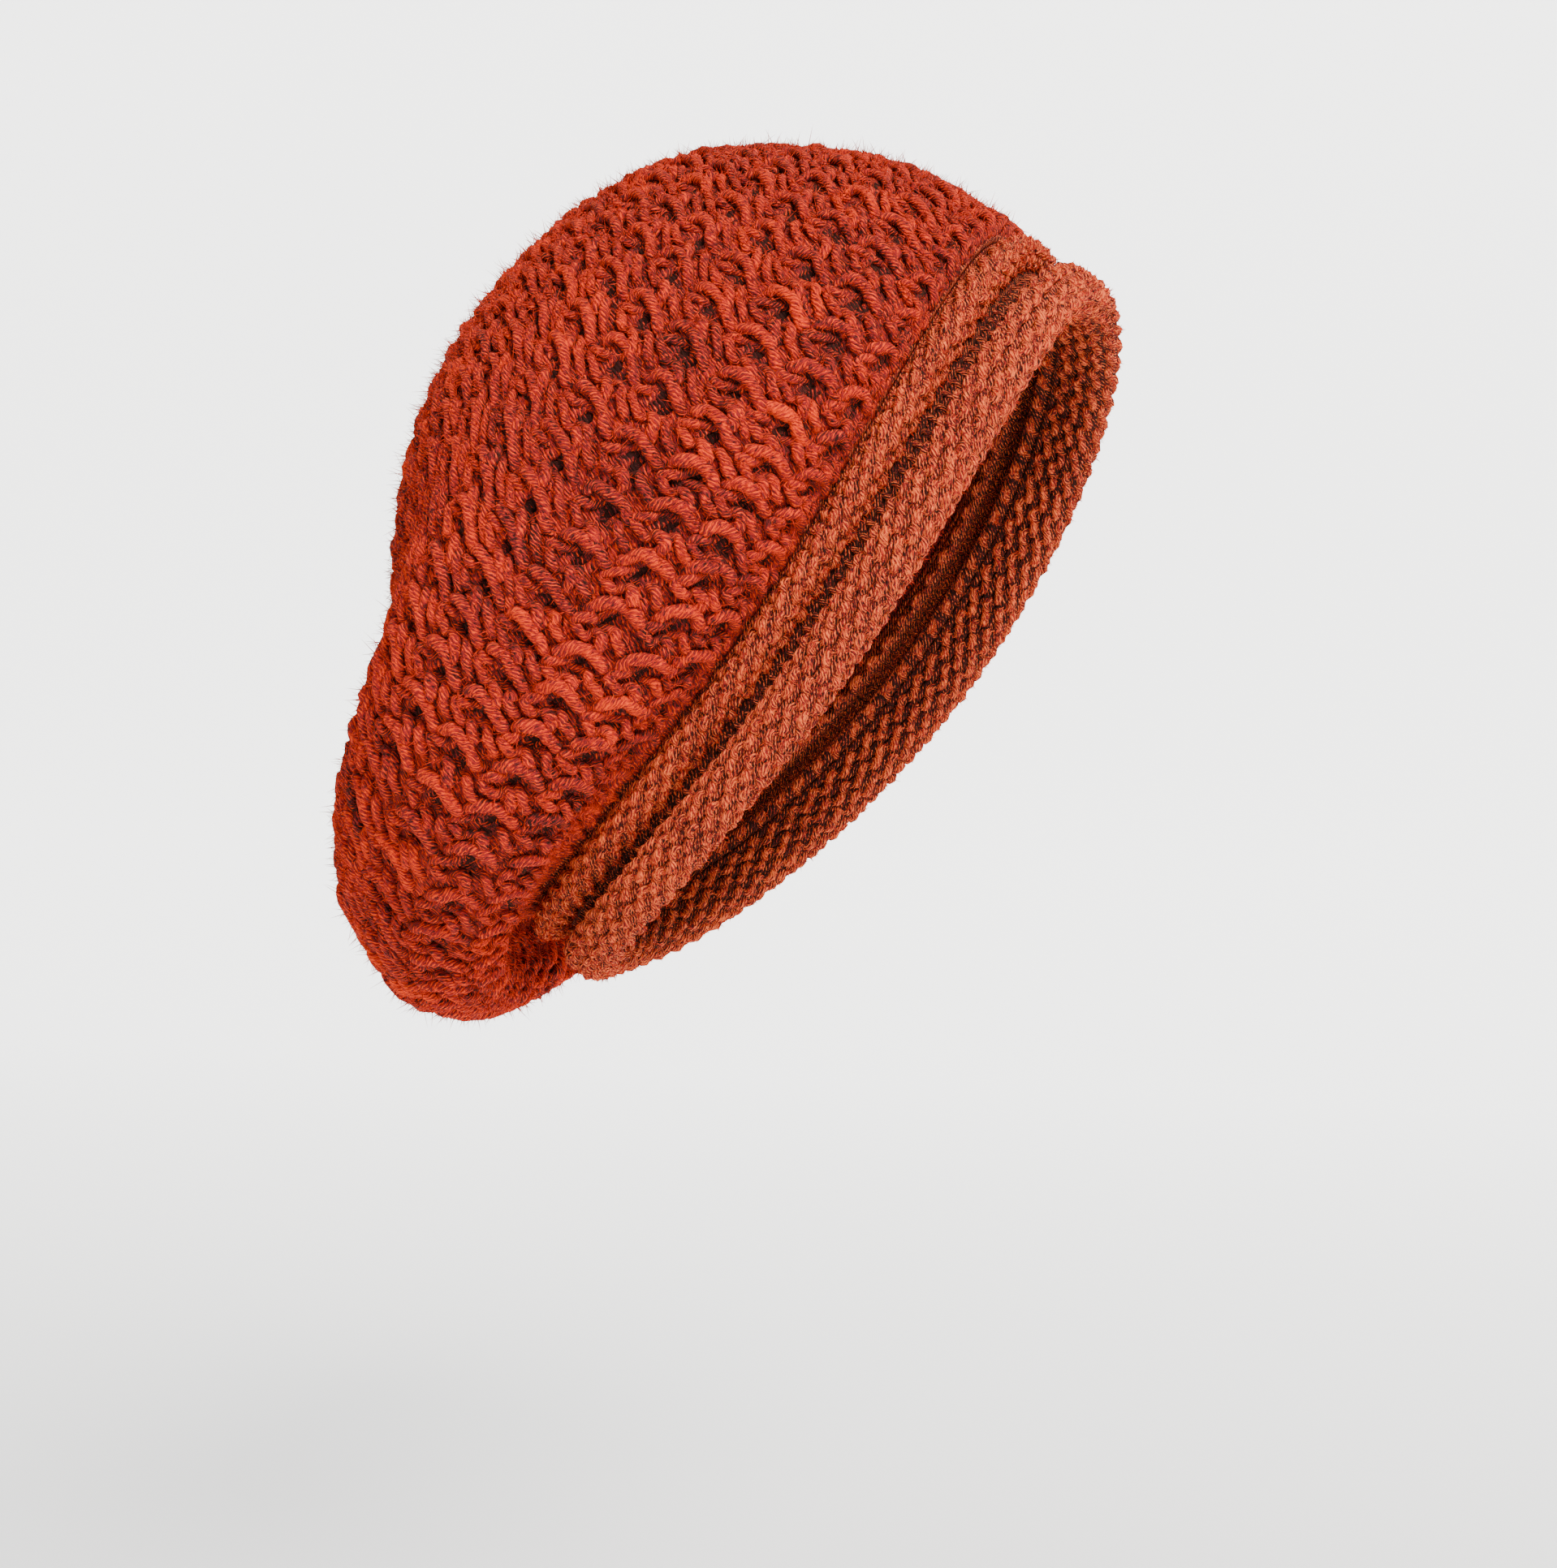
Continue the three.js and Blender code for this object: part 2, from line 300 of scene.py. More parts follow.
class MeshParts:
    """Collects tubes and spikes, then makes one mesh of them."""

    def __init__(self):
        self.points = []
        self.quads = []
        self.tris = []
        self.quad_uv = []
        self.tri_uv = []
        self.shades = []
        self.fuzz_roots = []
        self.count = 0

    def tube(self, line, normals, radii, heights, tone, sides):
        """A yarn along a closed line of points. Its colour is painted darker with the depth below the fabric's
        face, as painted shade in the recesses.
        """
        steps = len(line)
        tangent = unit(np.roll(line, -1, 0) - np.roll(line, 1, 0))
        up = unit(normals - tangent * np.sum(normals * tangent, -1, keepdims=True))
        across = np.cross(tangent, up)
        turn = math.pi + np.arange(sides) * TAU / sides
        ring = up[:, None] * np.cos(turn)[None, :, None] + across[:, None] * np.sin(turn)[None, :, None]
        self.points.append((line[:, None] + ring * radii[:, None, None]).reshape(-1, 3))
        i = np.arange(steps)[:, None]
        k = np.arange(sides)[None, :]
        ni, nk = (i + 1) % steps, (k + 1) % sides
        quads = np.stack([i * sides + k, ni * sides + k, ni * sides + nk, i * sides + nk], -1)
        self.quads.append(quads.reshape(-1, 4) + self.count)
        length = running_length(np.concatenate([line, line[:1]]))
        low, low_side = np.broadcast_arrays(length[:-1, None], k / sides)
        high, high_side = np.broadcast_arrays(length[1:, None], (k + 1) / sides)
        corners = ((low_side, low), (low_side, high), (high_side, high), (high_side, low))
        uv = np.stack([np.stack(corner, -1) for corner in corners], -2)
        self.quad_uv.append(uv.reshape(-1, 2))
        # The heights only set the painted shade: the lower a point lies under the fabric's face, the darker it
        # is painted.
        level = heights[:, None] + radii[:, None] * np.cos(turn)
        self.shades.append((tone[:, None] + PAINTED_CAVITY_SHADE * (smoothstep(level, *PAINTED_CAVITY_LEVELS) - 0.75)).ravel())
        self.count += steps * sides

    def spikes(self, root, tip, radius, shade):
        """Thin closed hairs, widest at the root."""
        n = len(root)
        direction = unit(tip - root)
        side_a = unit(np.cross(direction, direction[:, [1, 2, 0]] + 0.3))
        side_b = np.cross(direction, side_a)
        corners = []
        for turn in (0, TAU / 3, 2 * TAU / 3):
            corners.append(root + (side_a * math.cos(turn) + side_b * math.sin(turn)) * radius)
        corners.append(tip)
        self.points.append(np.stack(corners, 1).reshape(-1, 3))
        faces = [(0, 2, 1), (0, 1, 3), (1, 2, 3), (2, 0, 3)]
        tris = np.array(faces)[None] + (np.arange(n) * 4)[:, None, None] + self.count
        self.tris.append(tris.reshape(-1, 3))
        self.tri_uv.append(np.zeros((n * len(faces) * 3, 2)))
        self.shades.append(np.repeat(shade, 4))
        self.count += n * 4

    def build(self, name, material, slot, node):
        """Makes the mesh, which takes the place of the solid of this name."""
        points = np.concatenate(self.points) * MM
        quads = np.concatenate(self.quads) if self.quads else np.zeros((0, 4), int)
        tris = np.concatenate(self.tris) if self.tris else np.zeros((0, 3), int)
        corners = np.concatenate([quads.ravel(), tris.ravel()])
        mesh = bpy.data.meshes.new(name)
        mesh.vertices.add(len(points))
        mesh.vertices.foreach_set("co", points.ravel())
        mesh.loops.add(len(corners))
        mesh.loops.foreach_set("vertex_index", corners)
        mesh.polygons.add(len(quads) + len(tris))
        starts = np.concatenate([np.arange(len(quads)) * 4, len(quads) * 4 + np.arange(len(tris)) * 3])
        mesh.polygons.foreach_set("loop_start", starts)
        mesh.update(calc_edges=True)
        mesh.shade_smooth()
        uv = mesh.uv_layers.new(name="yarn")
        uv.data.foreach_set("uv", np.concatenate(self.quad_uv + self.tri_uv).ravel())
        shade = mesh.attributes.new("shade", "FLOAT", "POINT")
        shade.data.foreach_set("value", np.concatenate(self.shades))
        mesh.validate()
        mesh.materials.append(material)
        piece = bpy.data.objects.new(name, mesh)
        bpy.context.collection.objects.link(piece)
        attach(piece, "root")
        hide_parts(node)
        print(name, "triangles", 2 * len(quads) + len(tris))


def resampled(line, weights, count):
    """The closed line's rows at count places, closer together where the weights are high."""
    total = np.concatenate([[0], np.cumsum(weights)])
    looped = np.concatenate([line, line[:1]])
    places = np.arange(count) * total[-1] / count
    return np.stack([np.interp(places, total, column) for column in looped.T], 1)


def even_heights():
    """For each direction, the t that parts the way up the crown into even lengths."""
    steps = np.linspace(0, 1, 2 * LENGTHS + 1)
    columns = []
    for angle in np.linspace(0, TAU, DIRECTIONS + 1):
        length = running_length(crown_base(np.full(len(steps), angle), steps))
        columns.append(np.interp(np.linspace(0, length[-1], LENGTHS + 1), length, steps))
    return np.array(columns)


def slow_warp(angle, share):
    """Angle and t of a place given by stitch and row, with uneven tension and slanting columns."""
    turn = 0.022 * np.sin(3 * angle + 9 * share) + 0.014 * np.sin(7 * angle - 17 * share + 1.0)
    lift = 0.006 * np.sin(4 * angle + 11 * share + 2.0) + 0.004 * np.sin(9 * angle - 8 * share)
    lift = lift * smoothstep(share, 0.02, 0.12) * smoothstep(1 - share, 0, 0.1)
    turn = turn + COLUMN_LEAN * share + LEAN_AT_FRONT * share * np.cos(angle)
    angle = angle + (turn + (LEAN_TWICE_ROUND * share + TURN_TWICE_ROUND) * np.sin(2 * angle))
    share = np.clip(share + lift + ROW_DRAW * share * (1 - share), 0, 1)
    column = (angle % TAU) / TAU * DIRECTIONS
    i = np.minimum(column.astype(int), DIRECTIONS - 1)
    row = share * LENGTHS
    k = np.minimum(row.astype(int), LENGTHS - 1)
    a, b = column - i, row - k
    low = EVEN_HEIGHTS[i, k] * (1 - a) + EVEN_HEIGHTS[i + 1, k] * a
    high = EVEN_HEIGHTS[i, k + 1] * (1 - a) + EVEN_HEIGHTS[i + 1, k + 1] * a
    return angle, (1 - EVENNESS) * share + EVENNESS * (low * (1 - b) + high * b)


def off_eyelets(x, y, reach):
    """Moves places of a stitch row away from the eyelets, in the row's own units."""
    for level in (-1, 0, 1):
        dx = (x - np.round(x)) * STITCH_WIDTH
        dy = (y - level) * STITCH_HEIGHT
        away = np.maximum(np.hypot(dx, dy), 0.4)
        push = np.maximum(reach - away, 0) / away
        x = x + dx * push / STITCH_WIDTH
        y = y + dy * push / STITCH_HEIGHT
    return x, y


def stitch_scale(angle, t, count):
    """How much larger the stitches are here than the usual ones."""
    inner = np.clip(t, 0.01, 0.97)
    around = crown_base(angle + 0.02, inner) - crown_base(angle - 0.02, inner)
    upward = crown_base(angle, inner + 0.01) - crown_base(angle, inner - 0.01)
    wide = np.linalg.norm(around, axis=1) / 0.04 * TAU / count
    tall = np.linalg.norm(upward, axis=1) / 0.02 / CROWN_ROWS
    return np.clip(np.sqrt(wide * tall / (STITCH_WIDTH * STITCH_HEIGHT)), 0.7, 1.3)


def crown_yarn(parts, row, table, samples, sides):
    """One yarn of a row of crown stitches, all the way around."""
    count = ROW_STITCHES[row]
    table = np.array(table)
    grid = (count, len(table))
    stitch = np.arange(count)[:, None]
    x = table[None, :, 0] + STITCH_SHIFTS[row, :count, 0, None] + random.normal(0, POINT_SHIFT, grid)
    y = table[None, :, 1] + STITCH_SHIFTS[row, :count, 1, None] + random.normal(0, POINT_SHIFT, grid)
    depth = table[None, :, 2] + random.normal(0, DEPTH_SHIFT, grid)
    radius = table[None, :, 3] * (1 + random.normal(0, RADIUS_SHIFT, grid))
    deep = depth > UNDER_OTHERS
    far_x, far_y = off_eyelets(x, y, YARN_FROM_EYELET)
    x, y = np.where(deep, far_x, x), np.where(deep, far_y, y)
    rows = np.stack([x + stitch, y, depth, radius], -1).reshape(-1, 4)
    # The row closes on itself, so its places are split into a steady turn and what they differ from it.
    rows[:, 0] -= np.arange(len(rows)) / len(table)
    curve = closed_curve(rows, 6)
    steady = np.arange(len(curve)) / (6 * len(table))
    # More points where the yarn shows
    weights = np.where(curve[:, 2] < FEW_POINTS_BELOW, 1.0, 0.45)
    even = resampled(curve, weights, samples * count)
    along = np.interp(np.arange(samples * count) * np.sum(weights) / (samples * count),
                      np.concatenate([[0], np.cumsum(weights)]), np.append(steady, count))
    x = even[:, 0] + along
    t = np.clip((row + 0.5 - even[:, 1]) / CROWN_ROWS, 0.008, 0.992)
    angle, t = slow_warp(TAU * x / count, t)
    line, normals = crown_surface(angle, t, even[:, 2])
    radii = even[:, 3] * stitch_scale(angle, t, count) * (1 + random.normal(0, 0.08, len(t)))
    tone = np.repeat(random.normal(0, 0.1, count), samples)
    # The depth under the crown's face sets the painted shade; the tone differs at random from stitch to stitch.
    parts.tube(line, normals, radii, -even[:, 2], tone, sides)
    shown = (even[:, 2] < NO_HAIRS_BELOW) & (t > 0.05)
    parts.fuzz_roots.append(np.column_stack([line, normals, radii])[shown])


def ground_course(parts, t_middle, number, middle_depth=3.7, thickness=2.2):
    """One thin wavy course behind the raised yarns, deeper at the eyelets and painted darker there as painted
    shade in the holes; it also shows inside.
    """
    row = int(min(t_middle * CROWN_ROWS, CROWN_ROWS - 1))
    count = ROW_STITCHES[row]
    steps = 4 * count
    x = np.arange(steps) / 4 + 0.125
    zigzag = 0.05 * np.where(np.arange(steps) % 2 == 0, 1, -1)
    y = row + 0.5 - t_middle * CROWN_ROWS + zigzag + random.normal(0, 0.01, steps)
    from_eyelet = np.hypot((x - np.round(x)) * STITCH_WIDTH, (y - np.round(y)) * STITCH_HEIGHT)
    x, y = off_eyelets(x, y, GROUND_FROM_EYELET)
    depth = middle_depth + 0.3 * np.sin(x * TAU * 1.5 + number) + random.normal(0, 0.15, steps)
    at_eyelet = 1 - smoothstep(from_eyelet, *EYELET_EDGES)
    depth = depth + EYELET_DEPTH * at_eyelet
    share = np.clip((row + 0.5 - y) / CROWN_ROWS, 0.006, 0.985)
    angle, t = slow_warp(TAU * x / count, share)
    line, normals = crown_surface(angle, t, depth)
    next_angle, next_t = slow_warp(TAU * x / count, share + 1 / GROUND_COURSES)
    spacing = np.linalg.norm(crown_surface(next_angle, next_t, depth)[0] - line, axis=1)
    shrink = np.clip(np.linalg.norm(np.roll(line, -1, 0) - line, axis=1) / 1.6, 0.5, 1)
    radii = np.maximum(thickness * shrink, GROUND_OVERLAP * spacing) * (1 + random.normal(0, 0.04, steps))
    # Painted shade: the ground is painted darker at the eyelets, as shade in the holes, and a little lighter
    # elsewhere; the rest of its tone is random.
    parts.tube(line, normals, radii, -depth, random.normal(0, 0.08) + 0.08 - EYELET_SHADE * at_eyelet, 5)


def hem_path(w, stand_top):
    """Place and convex side of the rolled hem's middle line, by the length along its convex face."""
    turn = w - (stand_top - HEM_CENTRE)
    rise = turn - math.pi * HEM_CENTRE
    roll = np.maximum((rise - (CURL_UP - HEM_CENTRE)) / CURL_FACE, 0)
    bend = math.pi + np.clip(turn, 0, math.pi * HEM_CENTRE) / HEM_CENTRE
    out = np.where(rise < 0, HEM_CENTRE + HEM_BASE * np.cos(bend), CURL_OUT + CURL_RADIUS * np.cos(roll))
    up = np.where(rise < 0, HEM_CENTRE + HEM_BASE * np.sin(bend) - np.minimum(turn, 0),
                  np.minimum(HEM_CENTRE + rise, CURL_UP) + CURL_RADIUS * np.sin(roll))
    angle = np.where(rise < 0, bend, roll)
    return out, up, np.cos(angle), np.sin(angle)


def welt_path(w, stand_top):
    """Place and convex side of the upper welt's middle line, by the length along its convex face."""
    bulge = WELT_DEPTH - BAND_WALL
    rise = WELT_HEIGHT / 2 - BAND_HALF
    angle = np.radians(np.linspace(-90, 90, 91))
    face = np.column_stack([(bulge + BAND_HALF) * np.cos(angle), (rise + BAND_HALF) * np.sin(angle)])
    length = running_length(face)
    # Beyond both ends the line bends on with a radius of 6 mm.
    beyond = np.minimum(w, 0) + np.maximum(w - length[-1], 0)
    a = np.interp(w, length, angle) + beyond / 6
    side_out, side_up = np.cos(a) / (bulge + BAND_HALF), np.sin(a) / (rise + BAND_HALF)
    size = np.hypot(side_out, side_up)
    out = BAND_HALF + bulge * np.cos(a)
    up = stand_top + GAP + BAND_HALF + rise * (1 + np.sin(a))
    return out, up, side_out / size, side_up / size


def filler_path(out, up):
    """A straight way out and up from a place between the welt and the crown."""
    return lambda w, stand_top: (out + w, stand_top + up, 1 + w, w)


def hem_share(share):
    """A course at this share of the hem's convex face, whose standing wall differs in height."""
    return lambda stand_top: share * (stand_top + HEM_FACE)


def same_length(w):
    """A course at the same length along the convex face all the way around."""
    return lambda stand_top: w + 0 * stand_top


def rim_angles(count):
    """Angles that share the band's edge into even lengths."""
    angle = np.linspace(0, TAU, 2881)
    length = running_length(band_point(angle, CROWN_EDGE_OUT, 10.0))
    return np.interp(np.linspace(0, length[-1], count + 1), length, angle)


def band_course(parts, path, w_middle, course, steps=16):
    """One course of purl stitches around the band: the yarn winds up and down, and rises at both turns."""
    theta = np.arange(BAND_STITCHES * steps) * TAU / steps
    wobble = np.repeat(random.normal(0, 1, (BAND_STITCHES, 3)), steps, 0)
    x = theta / TAU + (0.115 + 0.014 * wobble[:, 0]) * np.sin(2 * theta)
    y = -(0.74 + 0.03 * wobble[:, 1]) * np.cos(theta) + (0.10 + 0.02 * wobble[:, 2]) * np.sin(2 * theta)
    y = y * course
    lift = (1.0 + 0.1 * wobble[:, 2]) * (1.1 * np.cos(2 * theta) - 0.1)
    angle = np.interp(x % BAND_STITCHES, np.arange(BAND_STITCHES + 1), BAND_ANGLES)
    stand_top = HEM_STAND + FOREHEAD_LIFT * forehead(angle)
    w = w_middle(stand_top) + y + 0.25 * np.sin(5 * angle + course)
    out, up, side_out, side_up = path(w, stand_top)
    line = band_point(angle, out + lift * side_out, up + lift * side_up)
    normals = unit(band_point(angle, out + side_out, up + side_up) - band_point(angle, out, up))
    radii = (1.12 + 0.22 * np.cos(2 * theta)) * (1 + random.normal(0, 0.04, len(theta)))
    # Random tone per stitch, plus painted light where the band's face turns outwards; the heights from the lift
    # paint shade between the bumps.
    tone = 0.1 * wobble[:, 0] + 0.12 * np.maximum(side_out, 0)
    parts.tube(line, normals, radii, 3.0 * lift - 2.5, tone, 6)
    shown = (lift > 0.2) & (side_up < 0.75)
    parts.fuzz_roots.append(np.column_stack([line, normals, radii])[shown])


def band_ground(parts, path, w_middle, thickness=1.4):
    """A straight yarn behind the purl bumps."""
    angle = np.interp(np.arange(2 * BAND_STITCHES) / 2, np.arange(BAND_STITCHES + 1), BAND_ANGLES)
    stand_top = HEM_STAND + FOREHEAD_LIFT * forehead(angle)
    out, up, side_out, side_up = path(w_middle(stand_top), stand_top)
    line = band_point(angle, out - 0.3 * side_out, up - 0.3 * side_up)
    normals = unit(band_point(angle, out + side_out, up + side_up) - band_point(angle, out, up))
    # Painted shade: the ground yarn behind the bumps is painted dark, and darker still where its face turns
    # inwards into the groove between the welt and the hem.
    painted_groove_shade = smoothstep(-side_out, 0.1, 0.9)
    parts.tube(line, normals, np.full(len(angle), thickness), -4.2 - 1.5 * painted_groove_shade, -0.5 * painted_groove_shade, 5)


def add_fuzz(parts, roots, count, longest):
    """Short hairs that stand off the yarn."""
    pick = roots[random.integers(0, len(roots), count)]
    line, normal, radius = pick[:, :3], pick[:, 3:6], pick[:, 6]
    direction = unit(normal + random.normal(0, 0.75, (count, 3)))
    # Hairs that would point into the yarn turn outwards.
    inwards = np.sum(direction * normal, 1) < 0.1
    direction[inwards] = unit(direction[inwards] + normal[inwards])
    root = line + direction * (radius * 0.85)[:, None]
    length = longest * random.uniform(0.25, 1, count) ** 1.5
    tip = root + (direction + random.normal(0, 0.3, (count, 3))) * length[:, None]
    parts.spikes(root, tip, HAIR_RADIUS, random.normal(0.1, 0.1, count))


def yarn_material(name, colours, pitch, contrast, base):
    """Matt plied yarn: twisted plies with painted highlights on their crests and painted shade between them,
    made uneven by streaky noise, and a fine felted grain.

    The colours run from painted shade to painted light; each ply winds once around the yarn in pitch
    millimetres.
    """
    material = bpy.data.materials.new(name)
    material.use_nodes = True
    nodes, links = material.node_tree.nodes, material.node_tree.links
    shader = nodes["Principled BSDF"]
    shader.inputs["Roughness"].default_value = 0.92
    shader.inputs["Specular IOR Level"].default_value = 0.04
    shader.inputs["Sheen Weight"].default_value = 0.06
    shader.inputs["Sheen Roughness"].default_value = 0.6
    shader.inputs["Sheen Tint"].default_value = (1.0, 0.45, 0.2, 1)

    def math_node(operation, a, b=0.0, c=0.0):
        node = nodes.new("ShaderNodeMath")
        node.operation = operation
        for socket, value in zip(node.inputs, (a, b, c)):
            if isinstance(value, float):
                socket.default_value = value
            else:
                links.new(value, socket)
        return node.outputs[0]

    def noise(scale, detail, vector):
        node = nodes.new("ShaderNodeTexNoise")
        node.inputs["Scale"].default_value = scale
        node.inputs["Detail"].default_value = detail
        links.new(vector, node.inputs["Vector"])
        return node

    uv = nodes.new("ShaderNodeUVMap")
    uv.uv_map = "yarn"
    split = nodes.new("ShaderNodeSeparateXYZ")
    links.new(uv.outputs[0], split.inputs[0])
    where = nodes.new("ShaderNodeTexCoord").outputs["Object"]
    waver = math_node("MULTIPLY", noise(420.0, 2.0, where).outputs["Fac"], 6.0)
    turns = math_node("MULTIPLY", split.outputs[0], PLIES * TAU)
    run = math_node("MULTIPLY_ADD", split.outputs[1], PLIES * TAU / pitch, waver)
    phase = math_node("ADD", turns, run)
    ply = math_node("MULTIPLY_ADD", math_node("SINE", phase), 0.5, 0.5)

    # Noise drawn out along the plies, which makes the painted highlights uneven and also roughens the bump
    slant = math_node("MULTIPLY", split.outputs[0], -0.3 * pitch)
    along = math_node("MULTIPLY_ADD", split.outputs[1], 0.55, slant)
    glint_noise_place = nodes.new("ShaderNodeCombineXYZ")
    links.new(math_node("MULTIPLY", phase, 0.42), glint_noise_place.inputs[0])
    links.new(along, glint_noise_place.inputs[1])
    glint_and_bump_noise = noise(1.0, 3.0, glint_noise_place.outputs[0])
    glint_and_bump_noise.inputs["Roughness"].default_value = 0.65

    grain = noise(900.0, 2.0, where)
    patch = noise(55.0, 2.0, where)
    # The shade attribute carries random tone together with the painted shade and painted light set for each
    # point.
    shade = nodes.new("ShaderNodeAttribute")
    shade.attribute_name = "shade"

    # Painted highlights: thin bright crescents on the plies' crests, unevenly bright
    crest = math_node("POWER", ply, 1.7)
    crest = math_node("MULTIPLY_ADD", crest, 0.7, 0.3)
    glint = math_node("MULTIPLY", crest, math_node("MULTIPLY_ADD", glint_and_bump_noise.outputs["Fac"], 5.0, -2.1))
    level = math_node("MULTIPLY_ADD", glint, contrast, base)
    level = math_node("ADD", level, math_node("MULTIPLY_ADD", grain.outputs["Fac"], 0.7, -0.35))
    level = math_node("ADD", level, math_node("MULTIPLY_ADD", patch.outputs["Fac"], 0.4, -0.2))
    level = math_node("ADD", level, shade.outputs["Fac"])
    ramp = nodes.new("ShaderNodeValToRGB")
    stops = ramp.color_ramp.elements
    # The darkest stop is painted shade, for the eyelets and the deepest recesses.
    stops[0].position = 0.0
    stops[0].color = (*PAINTED_DEEPEST_SHADE, 1)
    stops[1].position = 0.95
    stops[1].color = (*colours[3], 1)
    for position, colour in zip((0.17, 0.42, 0.7), colours):
        stops.new(position).color = (*colour, 1)
    links.new(level, ramp.inputs[0])
    links.new(ramp.outputs[0], shader.inputs["Base Color"])

    felt = math_node("MULTIPLY", grain.outputs["Fac"], 0.7)
    height = math_node("ADD", math_node("MULTIPLY", ply, 0.6), felt)
    height = math_node("ADD", height, glint_and_bump_noise.outputs["Fac"])
    bump = nodes.new("ShaderNodeBump")
    bump.inputs["Strength"].default_value = 0.9
    bump.inputs["Distance"].default_value = 0.0010
    links.new(height, bump.inputs["Height"])
    links.new(bump.outputs[0], shader.inputs["Normal"])
    return material


EVEN_HEIGHTS = even_heights()
STITCH_SHIFTS = random.normal(0, STITCH_SHIFT, (CROWN_ROWS, max(ROW_STITCHES), 2))
BAND_ANGLES = rim_angles(BAND_STITCHES)
PLIES = 7
# Yarn colour ramps, from the deepest painted shade to the painted light; the same ramps also spread the yarn's
# random tone
PAINTED_DEEPEST_SHADE = (0.030, 0.009, 0.009)
CROWN_COLOURS = ((0.18, 0.022, 0.024), (0.32, 0.014, 0.019), (0.64, 0.030, 0.010), (1.0, 0.064, 0.004))
BAND_COLOURS = ((0.18, 0.022, 0.024), (0.33, 0.015, 0.020), (0.64, 0.029, 0.013), (1.0, 0.175, 0.045))
HAIR_COLOURS = ((0.3, 0.015, 0.014), (0.5, 0.024, 0.014), (0.8, 0.045, 0.012), (1.0, 0.12, 0.03))
CROWN_RED = yarn_material("crown yarn", CROWN_COLOURS, 8.5, 1.5, 0.12)
BAND_RED = yarn_material("band yarn", BAND_COLOURS, 9.5, 2.85, -0.05)
HAIR_RED = yarn_material("loose fibres", HAIR_COLOURS, 8.5, 0.3, 0.30)

# Crown: the raised yarns row by row, in three pieces, and the ground behind them
crown_parts = {"low": MeshParts(), "middle": MeshParts(), "top": MeshParts()}
for row in range(CROWN_ROWS):
    parts = crown_parts["low" if row < 4 else "middle" if row < 8 else "top"]
    crown_yarn(parts, row, ARCH_YARN, 22, 8)
    crown_yarn(parts, row, HOOK_YARN, 19, 6)
for name, parts in crown_parts.items():
    parts.build("crown_stitches_" + name, CROWN_RED, "crown_knit", "crown")

ground = MeshParts()
for number in range(GROUND_COURSES):
    ground_course(ground, 0.008 + 0.96 * number / (GROUND_COURSES - 1), number)
# Two shallow courses close the joint with the band.
for number in range(2):
    ground_course(ground, 0.004 + 0.014 * number, number, 2.3, 1.8)
ground.build("crown_ground_courses", CROWN_RED, "crown_knit", "crown")

# Band: purl courses along the hem's roll and over the welt
hem = MeshParts()
for number in range(HEM_COURSES):
    band_course(hem, hem_path, hem_share((number + 0.5) / HEM_COURSES), HEM_COURSE)
for number in range(-1, 2 * HEM_COURSES + 1):
    band_ground(hem, hem_path, hem_share(number / (2 * HEM_COURSES)))
band_ground(hem, hem_path, same_length(-1.3), 1.9)
hem.build("hem_stitches", BAND_RED, "hem_knit", "rolled_hem")

welt = MeshParts()
for middle in WELT_MIDDLES:
    band_course(welt, welt_path, same_length(middle), WELT_COURSE)
for number in range(11):
    band_ground(welt, welt_path, same_length(WELT_GROUND_STEP * number))
# Three straight yarns close the joint between the welt and the crown.
for out, up in ((3.3, 10.7), (4.4, 12.4), (6.2, 13.4)):
    band_ground(welt, filler_path(out, up), same_length(0), 1.7)
welt.build("welt_stitches", BAND_RED, "welt_knit", "upper_welt")

# Loose fibres on every piece
HAIRY_PIECES = (
    ("crown_fuzz", list(crown_parts.values()), CROWN_HAIRS, "crown_knit", "crown"),
    ("hem_fuzz", [hem], BAND_HAIRS, "hem_knit", "rolled_hem"),
    ("welt_fuzz", [welt], BAND_HAIRS, "welt_knit", "upper_welt"),
)
for name, pieces, (count, longest), slot, node in HAIRY_PIECES:
    hairs = MeshParts()
    add_fuzz(hairs, np.concatenate([roots for piece in pieces for roots in piece.fuzz_roots]), count, longest)
    hairs.build(name, HAIR_RED, slot, node)


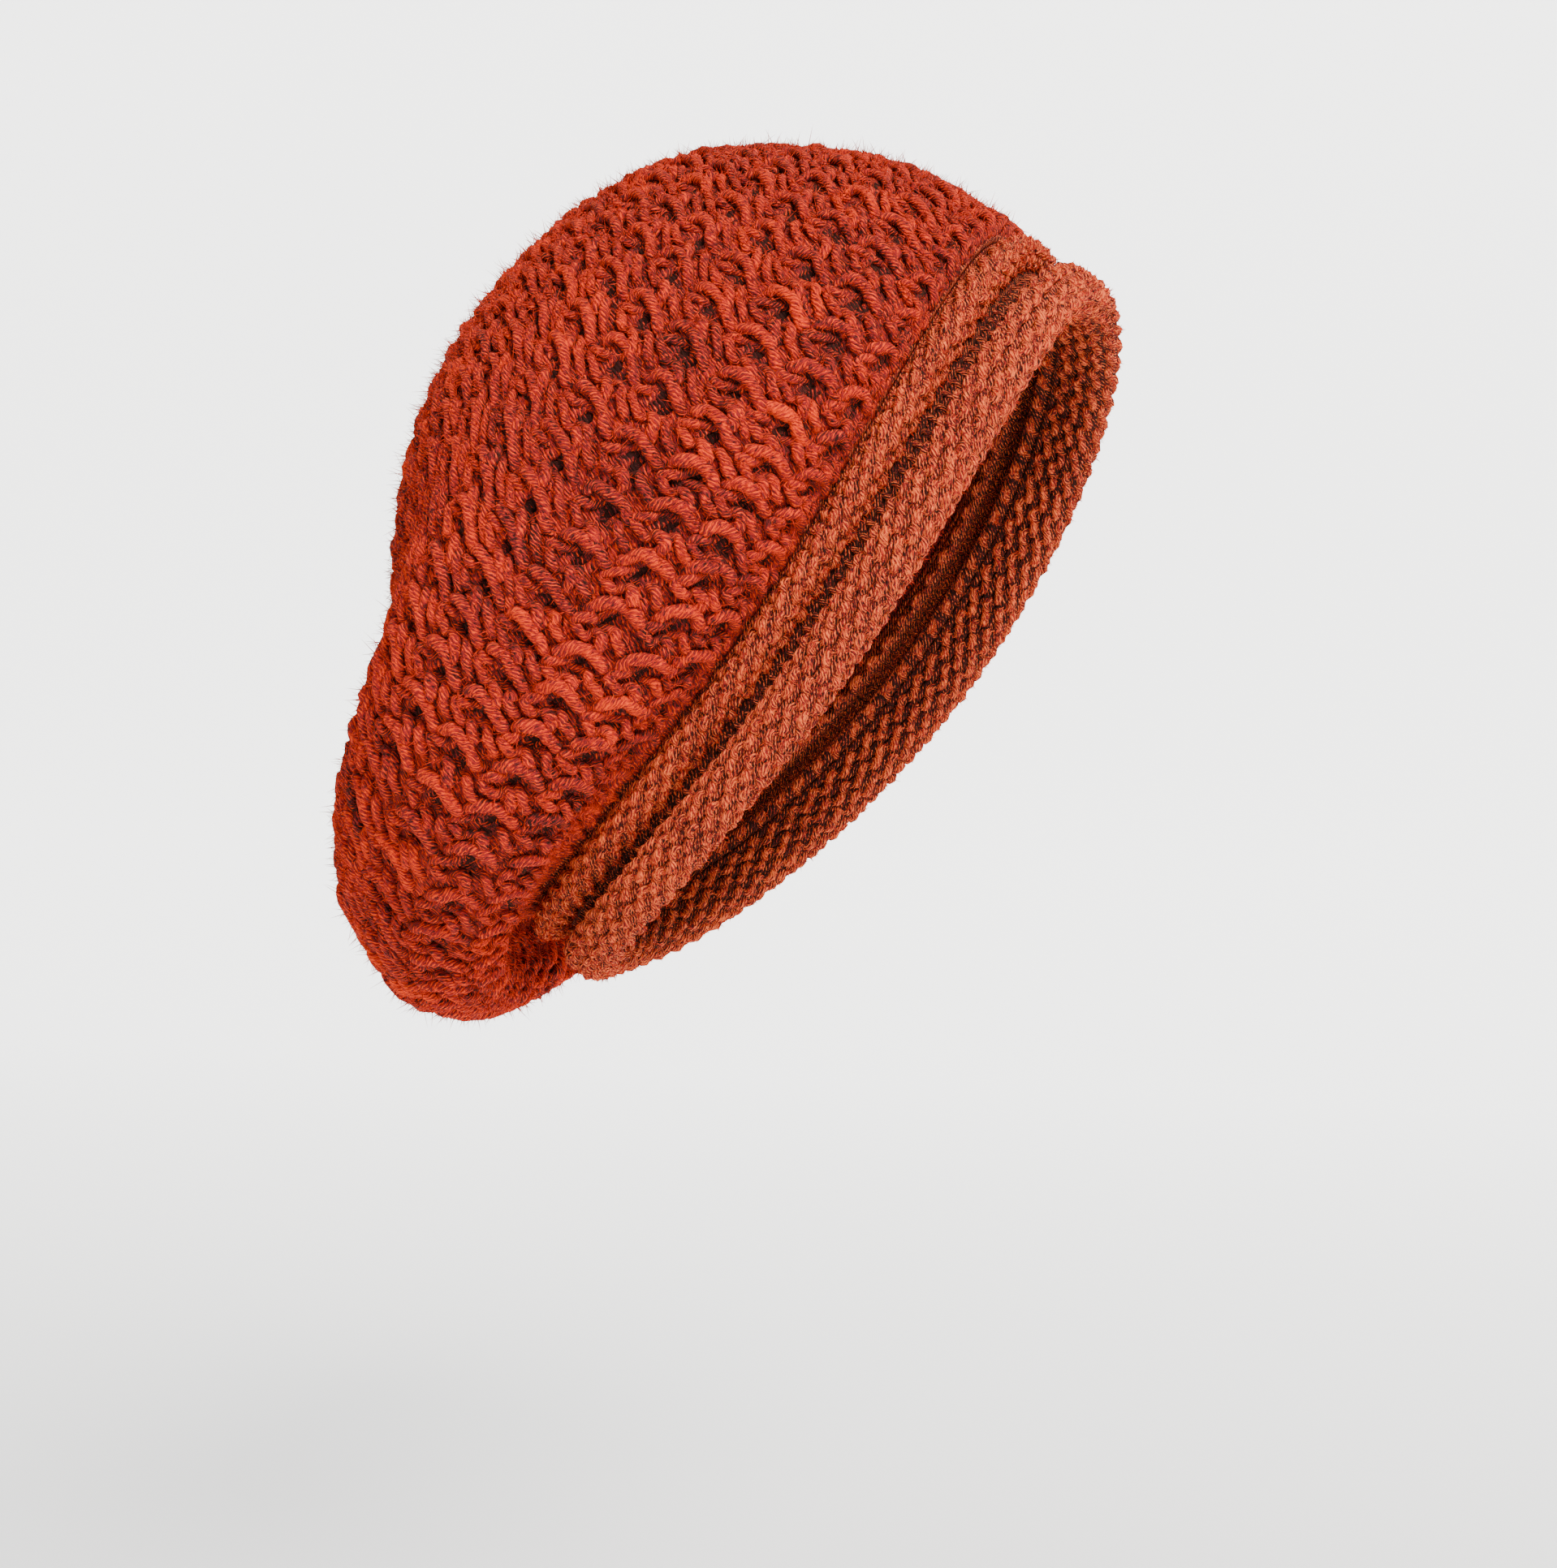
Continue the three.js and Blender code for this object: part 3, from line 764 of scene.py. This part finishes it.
def stage_sheet():
    """A pale floor that curves up behind."""
    profile = [(-3.0, -0.32), (1.2, -0.32)]
    for a in np.radians(np.arange(10, 91, 10)):
        profile.append((1.2 + 0.8 * math.sin(a), 0.48 - 0.8 * math.cos(a)))
    profile.append((2.0, 4.0))
    points = [(x, y, z) for y, z in profile for x in (-4.0, 4.0)]
    faces = [(2 * i, 2 * i + 1, 2 * i + 3, 2 * i + 2) for i in range(len(profile) - 1)]
    mesh = bpy.data.meshes.new("backdrop")
    mesh.from_pydata(points, [], faces)
    mesh.shade_smooth()
    sheet = bpy.data.objects.new("backdrop", mesh)
    bpy.context.collection.objects.link(sheet)
    paper = bpy.data.materials.new("paper")
    paper.use_nodes = True
    nodes, links = paper.node_tree.nodes, paper.node_tree.links
    shader = nodes["Principled BSDF"]
    shader.inputs["Base Color"].default_value = (0.85, 0.85, 0.85, 1)
    shader.inputs["Roughness"].default_value = 0.9
    shader.inputs["Emission Color"].default_value = (1, 1, 0.98, 1)
    # The sheet glows more towards its far end.
    where = nodes.new("ShaderNodeTexCoord")
    split = nodes.new("ShaderNodeSeparateXYZ")
    glow = nodes.new("ShaderNodeMapRange")
    glow.inputs["From Min"].default_value = 0.0
    glow.inputs["From Max"].default_value = 1.6
    glow.inputs["To Min"].default_value = 0.3
    glow.inputs["To Max"].default_value = 2.6
    links.new(where.outputs["Object"], split.inputs[0])
    links.new(split.outputs["Y"], glow.inputs["Value"])
    links.new(glow.outputs[0], shader.inputs["Emission Strength"])
    mesh.materials.append(paper)
    return sheet


stage_sheet()

# Camera: 17 degrees round to the forehead side, 4 degrees up, 1 m away, shifted to the photo's framing
turn, tip = math.radians(17), math.radians(4)
back = Vector((math.sin(turn) * math.cos(tip), -math.cos(turn) * math.cos(tip), math.sin(tip)))
right = Vector((math.cos(turn), math.sin(turn), 0))
above = back.cross(right)
camera_data = bpy.data.cameras.new("camera")
camera_data.sensor_fit = "HORIZONTAL"
camera_data.sensor_width = 36
camera_data.lens = 80.7
camera = bpy.data.objects.new("camera", camera_data)
bpy.context.collection.objects.link(camera)
camera.location = back - right * 0.0226 - above * 0.0398
camera.rotation_mode = "QUATERNION"
camera.rotation_quaternion = (-back).to_track_quat("-Z", "Y")
bpy.context.scene.camera = camera


def area_light(name, place_at, target, size, watts, colour):
    lamp = bpy.data.lights.new(name, "AREA")
    lamp.shape = "DISK"
    lamp.size = size
    lamp.energy = watts
    lamp.color = colour
    holder = bpy.data.objects.new(name, lamp)
    holder.location = place_at
    holder.rotation_mode = "QUATERNION"
    holder.rotation_quaternion = (Vector(target) - Vector(place_at)).to_track_quat("-Z", "Y")
    bpy.context.collection.objects.link(holder)


area_light("key", (0.9, -1.1, 1.3), (0, 0, 0), 0.8, 60, (1.0, 0.97, 0.93))
area_light("fill", (-1.3, -1.2, 0.5), (0, 0, 0), 1.2, 4, (1.0, 0.98, 0.97))
world = bpy.data.worlds.new("world")
bpy.context.scene.world = world
world.use_nodes = True
world.node_tree.nodes["Background"].inputs["Color"].default_value = (1, 1, 1, 1)
world.node_tree.nodes["Background"].inputs["Strength"].default_value = 0.5
